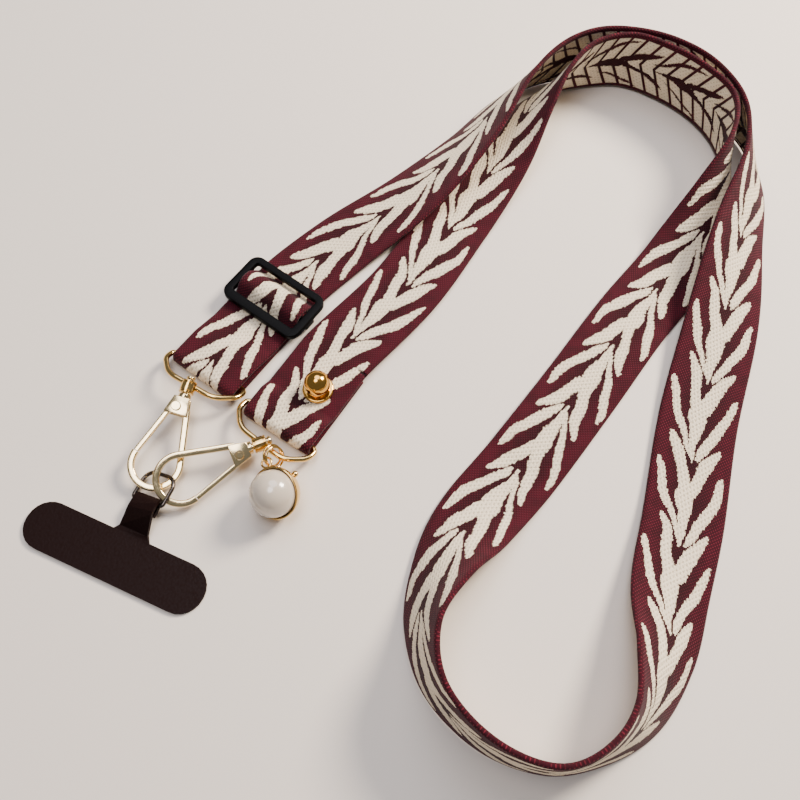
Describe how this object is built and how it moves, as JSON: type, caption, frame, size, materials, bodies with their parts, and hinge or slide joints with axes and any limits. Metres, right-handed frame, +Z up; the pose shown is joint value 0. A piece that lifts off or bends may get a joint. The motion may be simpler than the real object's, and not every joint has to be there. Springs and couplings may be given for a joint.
{
  "type": "phone crossbody strap",
  "caption": "Patterned crossbody webbing strap with a length slider, D-rings, swivel snap hooks, a rivet stud, a pearl drop and a ringed tab that sits inside a phone case.",
  "frame": {"origin": "bottom centre of the laid-out strap's box, on the table", "axes": "+Z up from the table, +Y from the bottom loop towards the arch's top, +X from the phone tab towards the arch's outer side"},
  "size_m": [0.2412, 0.2504, 0.0259],
  "materials": {
    "webbing": "jacquard webbing, burgundy and cream",
    "black_plastic": "moulded, matte",
    "gold": "light gold plated, polished",
    "pearl": "pearl coated, satin",
    "leather": "fine grain, dark brown",
    "gunmetal": "dark polished wire"
  },
  "bodies": {
    "strap": {"strap_webbing": "webbing", "slider": "black_plastic", "rivet_stud": "gold", "d_ring_1": "gold", "d_ring_2": "gold", "hook_1": "gold", "gate_rivet_1": "gold", "hook_2": "gold", "gate_rivet_2": "gold", "pearl": "pearl", "pearl_cup": "gold", "jump_ring_1": "gold", "jump_ring_2": "gold", "tab_ring": "gunmetal", "phone_tab": "leather"},
    "gate_lever_1": {"gate_1": "gold"},
    "gate_lever_2": {"gate_2": "gold"}
  },
  "joints": [
    {"name": "gate_1_hinge", "type": "hinge", "parent": "strap", "child": "gate_lever_1", "pos_m": [-0.07833, -0.02422, 0.00707], "axis": [0.064, -0.1742, 0.9826], "range_deg": [0, 22], "stiffness_Nm_per_rad": 0.02, "springref_deg": -17.19},
    {"name": "gate_2_hinge", "type": "hinge", "parent": "strap", "child": "gate_lever_2", "pos_m": [-0.05762, -0.0388, 0.0055], "axis": [-0.145, 0.3097, -0.9397], "range_deg": [0, 22], "stiffness_Nm_per_rad": 0.02, "springref_deg": -17.19}
  ]
}
